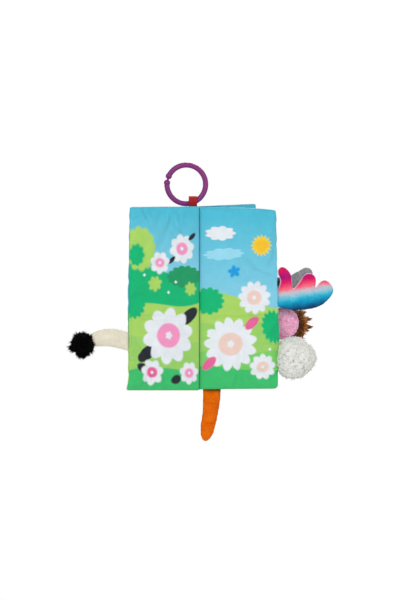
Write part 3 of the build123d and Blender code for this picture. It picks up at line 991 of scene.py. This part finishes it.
# %% Lumpy balls
def ball_directions(count):
    """Evenly spread directions over a ball, by the golden angle."""
    k = np.arange(count) + 0.5
    z = 1 - 2 * k / count
    a = k * pi * (3 - 5**0.5)
    return np.stack([np.sqrt(1 - z * z) * np.cos(a), np.sqrt(1 - z * z) * np.sin(a), z], -1)


def lumps_at(rays, lumps, depth):
    """How far each direction lies in from the full radius: nothing at a lump's middle, depth in the valleys.
    The lumps' middles are spread by the golden angle and then jittered a little by waves."""
    middles = ball_directions(lumps)
    jitter = np.sin(23 * middles[:, [1, 2, 0]] + np.array([0.0, 2.0, 4.0]))
    middles = unit(middles + 0.35 / lumps**0.5 * jitter)
    near = np.concatenate([np.max(some @ middles.T, -1) for some in np.array_split(rays, 20)])
    return depth * np.clip((1 - near) * lumps / 3.2, 0, 1) ** 1.2


def lumpy_ball(centre, radius, lumps, depth, rows, columns, fine_lumps=1, fine_depth=0.0):
    """A ball of rounded lumps with finer ones on them, as rows of points from pole to pole. Its UV is a
    middling tone at half length."""
    theta, phi = np.meshgrid(np.linspace(0.02, pi - 0.02, rows), circle(columns), indexing="ij")
    rays = np.stack([np.sin(theta) * np.cos(phi), np.sin(theta) * np.sin(phi), np.cos(theta)], -1)
    rays = rays.reshape(-1, 3)
    reach = radius - lumps_at(rays, lumps, depth) - lumps_at(rays, fine_lumps, fine_depth)
    faces = [face[::-1] for face in tube_faces(rows, columns)]
    return centre + rays * reach[:, None], faces, np.full((len(rays), 2), 0.5)


# %% Joining strands and colouring them
def join(*shapes):
    """Puts several (points, faces, UV) shapes into one."""
    faces, base = [], 0
    for points, more, _ in shapes:
        faces += [[base + corner for corner in face] for face in more]
        base += len(points)
    points, _, uv = zip(*shapes)
    return np.concatenate(points), faces, np.concatenate(uv)


def strand_finish(name, deep, tip, by_strand, by_place, start, roughness=0.8):
    """Fur or curls by their UV: a share of each strand's own random tone, plus a share of its place."""
    material, tree, shader = new_finish(name, roughness, 0.05)
    strand, place, _ = split(tree, flat_uv(tree))
    tone = calc(tree, "MULTIPLY_ADD", strand, by_strand, calc(tree, "MULTIPLY_ADD", place, by_place, start))
    put(tree, shader.inputs["Base Color"], mix(tree, tone, srgb(*deep), srgb(*tip)))
    return material


# %% [markdown]
# ## A ball of wool
# The wool is a dense ball with a lumpy skin. A lumpy ball gives the body, and short
# curls and stray wisps break up its outline. One function then pulls the whole ball
# in or out by direction, because real wool is never quite round.

# %% Wool ball
WOOL_OUT, WOOL_RADIUS, WOOL_ROOTS = 21.6, 23.0, 21.0   # centre beyond the leaf, skin, and roots of the curls
WOOL_LUMPS, WOOL_DEPTH, WOOL_CURLS = 130, 1.5, 420


def wool_girth(rays):
    """How full the wool is in each direction: squarer beside the leaf that it is sewn to, with slow waves
    all round, a little taller than wide, and drawn in at the outer side above and below."""
    outward, upward = rays @ LEAVES["page_one"][1], rays[:, 2]
    corner = (2 * np.clip(-outward, 0, 1) * np.abs(upward)) ** 2
    dent = np.exp(-((outward - 0.62) ** 2 + (np.abs(upward) - 0.74) ** 2) / 0.14)
    waves = np.sin(6.0 * rays[:, 0] + 1.0) * np.sin(5.0 * rays[:, 2] + 2.0)
    return 1 + 0.13 * corner - 0.12 * dent + 0.03 * waves + 0.05 * upward**2


white_wool = pile_finish("white_wool", (216, 216, 210), (227, 227, 222), 240, sheen=0.1, depth=0.0001)
wool_centre = on_leaf("page_one", LEAF_WIDTH + WOOL_OUT, BOOK_TOP - DROPS["wool"], 0.0)
rays = unit(ball_directions(WOOL_CURLS) + chance.normal(0, 0.06, (WOOL_CURLS, 3)))
roots = wool_centre + rays * (WOOL_ROOTS - lumps_at(rays, WOOL_LUMPS, WOOL_DEPTH))[:, None]
wisps = unit(rays + chance.normal(0, 0.5, rays.shape))
points, faces, uv = join(
    lumpy_ball(wool_centre, WOOL_RADIUS, WOOL_LUMPS, WOOL_DEPTH, rows=140, columns=200,
               fine_lumps=900, fine_depth=0.6),
    curls(roots, rays, size=2.3, thick=1.25, turns=1.1),
    locks(roots, wisps, chance.uniform(2.2, 3.9, WOOL_CURLS), np.full(WOOL_CURLS, 1.1), droop=0.1, stray=0.4),
)
spokes = points - wool_centre
points = wool_centre + spokes * wool_girth(unit(spokes))[:, None]
wool = new_piece("wool_ball", points, faces, uv)
finish_piece(wool, "pages", "white_wool", [white_wool], "wool_tail")

# %% [markdown]
# ## A tuft of black fur
# The tuft ends the cream tail. Its locks lean towards the middles of a few dozen
# clumps, and the clumps differ in length, so the outline is ragged like real fur.

# %% Black fur tuft
TUFT_OUT, TUFT_BELOW = 60.4, 2.8       # the tuft's centre, beyond the leaf and below the tail's root
TUFT_RADIUS, TUFT_ROOTS, TUFT_CLUMPS = 10.8, 9.4, 70
black_fur = pile_finish("black_fur", (0, 0, 1), (6, 5, 7), 900, roughness=1.0, sheen=0.0)
tuft_centre = on_leaf("front_cover", LEAF_WIDTH + TUFT_OUT, BOOK_TOP - DROPS["cream"] - TUFT_BELOW, 0.0)
rays = ball_directions(2600)
rays = rays[rays @ LEAVES["front_cover"][1] > -0.92]
clumps = ball_directions(TUFT_CLUMPS) + chance.normal(0, 0.12, (TUFT_CLUMPS, 3))
nearest = np.argmax(rays @ clumps.T, 1)
lean = unit(rays + 1.1 * (clumps[nearest] - rays) + chance.normal(0, 0.16, rays.shape))
reach = chance.uniform(4.4, 6.4, len(rays)) * chance.uniform(0.72, 1.24, TUFT_CLUMPS)[nearest]
tuft = new_piece("black_fur_tuft", *join(
    lumpy_ball(tuft_centre, TUFT_RADIUS, lumps=60, depth=0.8, rows=36, columns=54),
    locks(tuft_centre + rays * TUFT_ROOTS, lean, reach, chance.uniform(0.5, 0.8, len(rays)), droop=0.1),
))
finish_piece(tuft, "front_cover", "black_fur", [black_fur], "fur_tuft")

# %% [markdown]
# ## Fleece on a pad
# Fleece is a knitted backing covered with short loops. The backing is the padded
# shell from before. A coarser net of the same outline gives the roots of the curls
# on both sides, and they turn outward towards the rim.

# %% Pink fleece curls
pink_fleece = strand_finish("pink_fleece", (255, 160, 205), (255, 230, 244),
                            by_strand=0.8, by_place=0.5, start=-0.1)
flat, height, *_ = stuffed_shell(FLEECE, FLEECE_HALF, step=2.3)
inner = flat[:, 0] > 1.0
flat, height = flat[inner], height[inner]
root_s, root_z = at_edge("fleece")
middle = on_leaf("page_two", LEAF_WIDTH + 10.0, root_z, 0.0)
knots = []
for side in (1, -1):
    spots = on_leaf("page_two", root_s + flat[:, 0], root_z + flat[:, 1], side * height)
    normal = unit(0.10 * (spots - middle) * (1 - height / 6.2)[:, None] + side * LEAVES["page_two"][2])
    spots = spots + chance.normal(0, 0.3, spots.shape)
    knots.append(curls(spots, normal, size=1.1, thick=0.72, turns=0.9, steps=8))
fleece_curls = new_piece("fleece_curls", *join(*knots))
finish_piece(fleece_curls, "pages", "pink_fleece", [pink_fleece])

# %% [markdown]
# ## A brush of fur
# The brush has a soft core. Its locks start on the core and each is drawn to the
# nearest of nine tips, so that they part only near their ends. Loose wisps fill the
# gaps. A random tone for each lock mixes dark brown with gold, which is strongest in
# a band short of the tips: partly the fur's colour and partly a painted highlight.
# Half a band further in, beside the fleece and the crest, the locks are painted dark
# as shade.

# %% Brush sizes and helpers
# the gold band is partly the fur's colour and partly a painted highlight; painted shade lies half a band
# inside it
GOLD_AND_HIGHLIGHT_REACH, GOLD_AND_HIGHLIGHT_BAND = 49.0, 18.0
BRUSH_START, BRUSH_END = -1, 54    # reach of the core from the leaf's edge
BRUSH_ROWS, BRUSH_SIDES = 30, 28
FUR_LOCKS, TIP_LOCKS, LOOSE_LOCKS = 2600, 60, 300   # on the core, at each tip, and loose
FRAY = 1.4             # how far a lock's end stands off the core
TIP_RUN = 17.0         # how far behind its tip a tip's locks start
brown_fur = strand_finish("brown_fur", (48, 19, 4), (232, 146, 56),
                          by_strand=0.7, by_place=0.6, start=-0.25, roughness=0.7)


def brush_girth(reach):
    """The core's radius at a reach from the root: narrow there, full in the middle, closed at the end."""
    places = [BRUSH_START, 8, 22, 36, 43, 48, 52, BRUSH_END]
    return np.interp(reach, places, [7.0, 11.5, 14.2, 15.2, 13.8, 10.0, 4.0, 0.8])


def on_brush(reach, rise, depth):
    """A point of the brush, measured from its root's middle on the third page's edge."""
    return on_leaf("page_three", LEAF_WIDTH + reach, BOOK_TOP - DROPS["mane"] + rise, depth)


def brush_ring(reach, radius, around):
    """Reach, rise and depth of points at a radius and an angle round the brush."""
    return np.stack(np.broadcast_arrays(reach, radius * np.sin(around), radius * np.cos(around)), -1)


def brush_locks(base, ends, thick, stray):
    """Locks from base to ends, which are given as reach, rise and depth."""
    roots = on_brush(*base.T)
    runs = on_brush(*ends.T) - roots
    lengths = np.linalg.norm(runs, axis=1)
    return locks(roots, runs / lengths[:, None], lengths, thick, 0.0, stray)


# %% Locks on the brush's core
tips = np.array([(53.5, 15.4, 2), (60.6, 7.2, 3), (64.4, -2.1, 0), (60.4, -6.8, -3), (52.7, -17, 0),
                 (50, 4, 10), (49, -5, -10), (44, 19, -3), (46, -12, 9)])
around = chance.uniform(0, 2 * pi, FUR_LOCKS)
begin = chance.uniform(-0.5, 46, FUR_LOCKS)
base = brush_ring(begin, brush_girth(begin) * 0.97, around)
pull = np.argmin(np.hypot(tips[:, 1] - 1.25 * base[:, 1:2], tips[:, 2] - 0.8 * base[:, 2:]), 1)
share = np.where(begin > 34, chance.uniform(0.4, 0.9, FUR_LOCKS), chance.uniform(0.25, 0.45, FUR_LOCKS))
ends = base + (tips[pull] - base) * share[:, None] + brush_ring(0.0, FRAY, around)
fur = brush_locks(base, ends, chance.uniform(0.5, 1.1, FUR_LOCKS), stray=0.08)
print("locks on the core:", FUR_LOCKS)

# %% Locks at the tips
count = TIP_LOCKS * len(tips)
goal = np.repeat(tips, TIP_LOCKS, axis=0)
spin = chance.uniform(0, 2 * pi, count)
swing = 4.8 * np.sqrt(chance.uniform(0, 1, count))
base = goal * np.array([1, 0.7, 0.7]) - np.array([TIP_RUN, 0, 0]) + brush_ring(0.0, swing, spin)
ends = base + (goal - base) * chance.uniform(0.6, 1.0, (count, 1))
spikes = brush_locks(base, ends, chance.uniform(0.6, 1.1, count), stray=0.05)
print("locks at the tips:", count)

# %% Loose wisps
around = chance.uniform(0, 2 * pi, LOOSE_LOCKS)
begin = chance.uniform(24, 46, LOOSE_LOCKS)
base = brush_ring(begin, brush_girth(begin) * 0.95, around)
lean = unit(brush_ring(1.0, 0.8, around) + chance.normal(0, 0.3, (LOOSE_LOCKS, 3)))
ends = base + lean * chance.uniform(3, 6.5, (LOOSE_LOCKS, 1))
wisps = brush_locks(base, ends, chance.uniform(0.4, 0.8, LOOSE_LOCKS), stray=0.25)
print("loose wisps:", LOOSE_LOCKS)

# %% Brown fur brush
reach, phi = np.meshgrid(np.linspace(BRUSH_START, BRUSH_END, BRUSH_ROWS), circle(BRUSH_SIDES), indexing="ij")
core = on_brush(reach, brush_girth(reach) * np.sin(phi), brush_girth(reach) * np.cos(phi)).reshape(-1, 3)
core_shape = (core, tube_faces(BRUSH_ROWS, BRUSH_SIDES), np.full((len(core), 2), 0.3))
points, faces, uv = join(core_shape, fur, spikes, wisps)
# gold peaks in a band short of the tips, partly a painted highlight; the darkest locks, half a band further
# in beside the fleece and crest, are painted shade, lighter again further in
reach = (points - on_brush(0.0, 0.0, 0.0)) @ LEAVES["page_three"][1]
highlight_and_shade_band = 0.5 + 0.5 * np.cos(2 * pi * (reach - GOLD_AND_HIGHLIGHT_REACH) / GOLD_AND_HIGHLIGHT_BAND)
painted_shade_reach = GOLD_AND_HIGHLIGHT_REACH - GOLD_AND_HIGHLIGHT_BAND / 2
uv[:, 1] = np.where(reach > painted_shade_reach, highlight_and_shade_band, 0.3 * np.clip((painted_shade_reach - reach) / 14, 0, 1))
mane = new_piece("brown_fur_brush", points, faces, uv)
finish_piece(mane, "pages", "brown_fur", [brown_fur], "mane_tail")

# %% [markdown]
# ## Ribbon
# A woven ribbon goes round the ring and is sewn to the top of the spine. A flat strip
# along a path is enough: the path has two short sewn ends and a loop round the wire,
# and Solidify gives the strip its thickness. A wave texture makes the ribs.

# %% Ribbon loop
STRAP_THICKNESS = 0.8
STRAP_SEWN = 0.45      # the sewn ends lie this far either side of the middle
STRAP_TUCK = 0.8       # how deep the ends go below the book's top
LOOP_FROM, LOOP_TO = -80, 260    # the loop's turn round the ring, in degrees
strap_low, strap_high = (1000 * np.array(corner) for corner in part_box("ribbon_strap"))
strap_outer = (strap_high[1] - strap_low[1]) / 2
strap_radius = strap_outer - STRAP_THICKNESS / 2
theta = np.linspace(radians(LOOP_FROM), radians(LOOP_TO), 60)
loop_y = strap_radius * np.cos(theta)
loop_z = strap_high[2] - strap_outer + strap_radius * np.sin(theta)
path_y = np.concatenate([[STRAP_SEWN, STRAP_SEWN], loop_y, [-STRAP_SEWN, -STRAP_SEWN]])
end_z = [BOOK_TOP - STRAP_TUCK, BOOK_TOP + 0.1]
path_z = np.concatenate([end_z, loop_z, end_z[::-1]])
run = run_along(np.stack([path_y, path_z], -1))
x = np.linspace(strap_low[0], strap_high[0], 13)
ribbon_points = np.stack(np.broadcast_arrays(x[None], path_y[:, None], path_z[:, None]), -1).reshape(-1, 3)
ribbon_uv = np.stack(np.broadcast_arrays(x[None] / 10, run[:, None] / 10), -1).reshape(-1, 2)
ribbon = new_piece("woven_ribbon", ribbon_points, grid_faces(len(run), len(x)).tolist(), ribbon_uv)
thicken = ribbon.modifiers.new("thickness", "SOLIDIFY")
thicken.thickness = STRAP_THICKNESS / 1000
thicken.offset = 0.0
ribbon_red, tree, shader = new_finish("ribbon_red", 0.6, 0.15)
rib = add(tree, "TexWave", Vector=flat_uv(tree), Scale=3.4)
rib.bands_direction = "Y"
ribbed = rib.outputs["Fac"]
# the rib valleys are painted darker and the ridges lighter by the wave that makes the relief: painted shade
# and painted highlight on the ribs
reds = mix(tree, ribbed, srgb(132, 12, 20), srgb(186, 28, 34))
surface(tree, shader, reds, ribbed, strength=0.6, distance=0.0002)
finish_piece(ribbon, "pages", "ribbon", [ribbon_red], "ribbon_strap")

# %% [markdown]
# ## Spine
# The leaves are sewn into one seam, and a tape covers it on the outside. A rounded
# rectangle carried up the spine makes both. A slow bulge keeps the tape from looking
# like a straight bar. The seam between the leaves is dark teal: painted shade in the
# gutter.

# %% Spine tape and bound seam
SLAB_SIDES, SLAB_ROWS, SLAB_END = 48, 90, 0.4    # points round and up a slab, and its gap at each end
SQUARENESS = 0.35      # a power of 1 would make the section round, and 0 square


def plain_finish(name, ink):
    """Woven cloth of one colour."""
    material, tree, shader = new_finish(name, 0.65, 0.1)
    weave_over(tree, shader, flat_uv(tree), srgb(*ink), strength=0.3)
    return material


def spine_slab(name, half_width, inner, outer, bulge):
    """A slab up the spine: its section is a rounded rectangle, with a slow bulge on the outside."""
    theta = circle(SLAB_SIDES)
    middle = (inner + outer) / 2
    a = np.sign(np.cos(theta)) * np.abs(np.cos(theta)) ** SQUARENESS * half_width
    b = middle + np.sign(np.sin(theta)) * np.abs(np.sin(theta)) ** SQUARENESS * (outer - inner) / 2
    z = np.linspace(BOOK_BOTTOM + SLAB_END, BOOK_TOP - SLAB_END, SLAB_ROWS)[:, None]
    pucker = bulge * (0.6 + 0.4 * np.sin(z * 0.35 + np.sin(z * 0.11) * 2)) * (b > middle)
    flat = a[None, :, None] * SPINE_ALONG - (b[None] + pucker)[..., None] * SPINE_INWARD
    points = (SPINE_MIDDLE + flat + z[..., None] * UP).reshape(-1, 3)
    uv = np.stack(np.broadcast_arrays(a[None] / 100, z / 100), -1).reshape(-1, 2)
    return new_piece(name, points, tube_faces(SLAB_ROWS, SLAB_SIDES), uv)


spine_cloth = plain_finish("spine_cloth", (70, 176, 200))
# dark teal on the bound seam is painted shade deep in the gutter between the leaves
painted_gutter_shade = plain_finish("painted_gutter_shade", (30, 96, 100))
tape = spine_slab("spine_tape", half_width=7.8, inner=0.05, outer=0.8, bulge=0.4)
finish_piece(tape, "pages", "binding_cloth", [spine_cloth], "spine_binding")
bound = spine_slab("bound_seam", half_width=7.1, inner=-3.0, outer=-0.05, bulge=0.0)
finish_piece(bound, "pages", "printed_cloth", [painted_gutter_shade])

# %% [markdown]
# ## Cloth over the hinges
# A cover turns against the spine, so the cloth between them can't ride on one body.
# A strip of many narrow faces runs from the spine tape round the hinge to the cover
# instead; it stays where it is made, on no body.

# %% Hinge cloth
TAPE_STATIONS = ((3.4, 1.35), (7.0, 1.45), (9.6, 1.7))   # along the spine and out from it
COVER_STATIONS = ((1.6, 2.1), (6.0, 2.9))                # along the cover and out from its middle
STRIP_END = 0.8        # the strip stops this far short of the leaf's ends


def hinge_cloth(name, cover, side, out):
    """A strip from the spine tape round the hinge to the cover's outer face: a smooth curve through five
    places in plan, repeated up the spine."""
    tape_side = [SPINE_MIDDLE + side * a * SPINE_ALONG - b * SPINE_INWARD for a, b in TAPE_STATIONS]
    cover_side = [on_leaf(cover, s, 0.0, out * n) for s, n in COVER_STATIONS]
    plan = smooth_outline(np.array(tape_side + cover_side)[:, :2], 0.7)
    z = np.linspace(BOOK_BOTTOM + STRIP_END, BOOK_TOP - STRIP_END, 70)
    points = np.stack(np.broadcast_arrays(plan[:, 0], plan[:, 1], z[:, None]), -1).reshape(-1, 3)
    run = run_along(plan)
    uv = np.stack(np.broadcast_arrays(run[None] / 100, z[:, None] / 100), -1).reshape(-1, 2)
    strip = new_piece(name, points, grid_faces(len(z), len(plan)).tolist(), uv)
    strip.data.materials.append(spine_cloth)
    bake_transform(strip)
    print(name, len(strip.data.polygons), "faces")


hinge_cloth("front_hinge_cloth", "front_cover", side=-1, out=1)
hinge_cloth("back_hinge_cloth", "back_cover", side=1, out=-1)

# %% [markdown]
# ## Ring
# The ring is moulded plastic: a round wire with a knob at each side of its split, and
# a pin between the knobs. A torus has no split, so a circle is carried along an open
# arc, and a small ball closes each end.

# %% Moulded ring
WIRE_RADIUS, KNOB_RADIUS, PIN_RADIUS = 3.1, 3.7, 1.2
KNOB_SPACING, SPLIT_ANGLE, RING_SIDES = 8.0, 165.0, 24
RING_RADIUS = 1000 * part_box("hanging_ring")[1][2] - WIRE_RADIUS
ring_plastic, tree, shader = new_finish("ring_plastic", 0.45, specular=0.3)
cloudy = noise(tree, add(tree, "TexCoord").outputs["Object"], 160.0)
purples = mix(tree, cloudy, srgb(112, 32, 102), srgb(128, 42, 116))
surface(tree, shader, purples, cloudy, strength=0.05, distance=0.0001)
half_gap = KNOB_SPACING / RING_RADIUS / 2
turn = np.linspace(half_gap, 2 * pi - half_gap, 140) + radians(SPLIT_ANGLE)
hoop = RING_RADIUS * np.stack([np.cos(turn), 0 * turn, np.sin(turn)], -1)
pin = np.linspace(hoop[0], hoop[-1], 6)
knobs = [lumpy_ball(end, KNOB_RADIUS, lumps=1, depth=0.0, rows=20, columns=28) for end in (hoop[0], hoop[-1])]
around = circle(RING_SIDES)[:, None]
section = np.cos(around) * (hoop / RING_RADIUS)[:, None] + np.sin(around) * np.array([0, 1.0, 0])
hoop_points = (hoop[:, None] + WIRE_RADIUS * section).reshape(-1, 3)
hoop_faces = grid_faces(len(hoop), RING_SIDES, wrap=True).tolist()
hoop_tube = (hoop_points, hoop_faces, np.full((len(hoop_points), 2), 0.5))
pin_tube = tubes(pin[None], np.full((1, len(pin)), PIN_RADIUS), RING_SIDES)
ring = new_piece("moulded_ring", *join(hoop_tube, pin_tube, *knobs))
finish_piece(ring, "ring", "ring_plastic", [ring_plastic], "hanging_ring")

# %% [markdown]
# ## Light and camera
# The ground is white and the light is even and soft. Two wide lamps stand in front,
# left and right, a third lights the back, and a plain world fills the shadows. The
# ground is white only to the camera, so no extra light falls on the book.

# %% Floor
FLOOR_HALF, FLOOR_Z = 6000.0, -900.0


def camera_sees(tree):
    """1 for rays from the camera, also after a mirror or glass, and 0 for the rays that carry light."""
    path = add(tree, "LightPath").outputs
    through = calc(tree, "MAXIMUM", path["Is Glossy Ray"], path["Is Transmission Ray"])
    return calc(tree, "MAXIMUM", path["Is Camera Ray"], through)


corners = FLOOR_HALF * np.array([(-1, -1, 0), (1, -1, 0), (1, 1, 0), (-1, 1, 0)]) + FLOOR_Z * UP
floor = new_piece("floor", corners, [[0, 1, 2, 3]])
floor_finish, tree, shader = new_finish("floor", 0.9)
shader.inputs["Base Color"].default_value = (0.85, 0.85, 0.85, 1)
white = add(tree, "Emission", Strength=1.0)
either = add(tree, "MixShader", camera_sees(tree), shader.outputs[0], white.outputs[0])
put(tree, tree.nodes["Material Output"].inputs["Surface"], either.outputs[0])
floor.data.materials.append(floor_finish)
print(floor.name, 2 * FLOOR_HALF, "mm wide")

# %% World
WORLD_LIGHT = 0.46     # the world's strength as a light; the camera sees it as white
world = bpy.data.worlds.new("studio")
bpy.context.scene.world = world
world.use_nodes = True
tree = world.node_tree
level = stretch(tree, camera_sees(tree), 0.0, 1.0, WORLD_LIGHT, 1.0)
fill(tree, tree.nodes["Background"], Color=(1, 1, 1, 1), Strength=level)
print(world.name, WORLD_LIGHT)

# %% Lamps
LAMP_AIM = Vector((0.02, 0, -0.15))
LAMP_SIZE = 1.0


def lamp(name, place, power):
    """A square area lamp at a place in metres, turned towards the book's middle."""
    data = bpy.data.lights.new(name, "AREA")
    data.size = LAMP_SIZE
    data.energy = power
    light = bpy.data.objects.new(name, data)
    light.location = place
    light.rotation_euler = (LAMP_AIM - Vector(place)).to_track_quat("-Z", "Y").to_euler()
    bpy.context.collection.objects.link(light)
    print(name, power, "W")


lamp("key", (-0.7, -1.8, 0.6), 17)
lamp("fill", (1.3, -1.5, 0.4), 14)
lamp("back", (0.3, 1.6, 1.1), 32)

# %% Camera
VIEW_X, VIEW_Z = 0.0164, -0.1341     # the picture's middle, in metres from the ring's
VIEW_DISTANCE = 10.0                 # far off, so that the view is nearly flat
SENSOR, LENS = 36.0, 519.0           # in millimetres
bpy.context.scene.view_settings.view_transform = "Standard"
lens = bpy.data.cameras.new("camera")
lens.sensor_fit = "VERTICAL"
lens.sensor_height = SENSOR
lens.lens = LENS
camera = bpy.data.objects.new("camera", lens)
camera.location = (VIEW_X, -VIEW_DISTANCE, VIEW_Z)
camera.rotation_euler = (pi / 2, 0, 0)
bpy.context.collection.objects.link(camera)
bpy.context.scene.camera = camera
print("the camera sees", round(SENSOR * VIEW_DISTANCE / LENS, 3), "m of height")
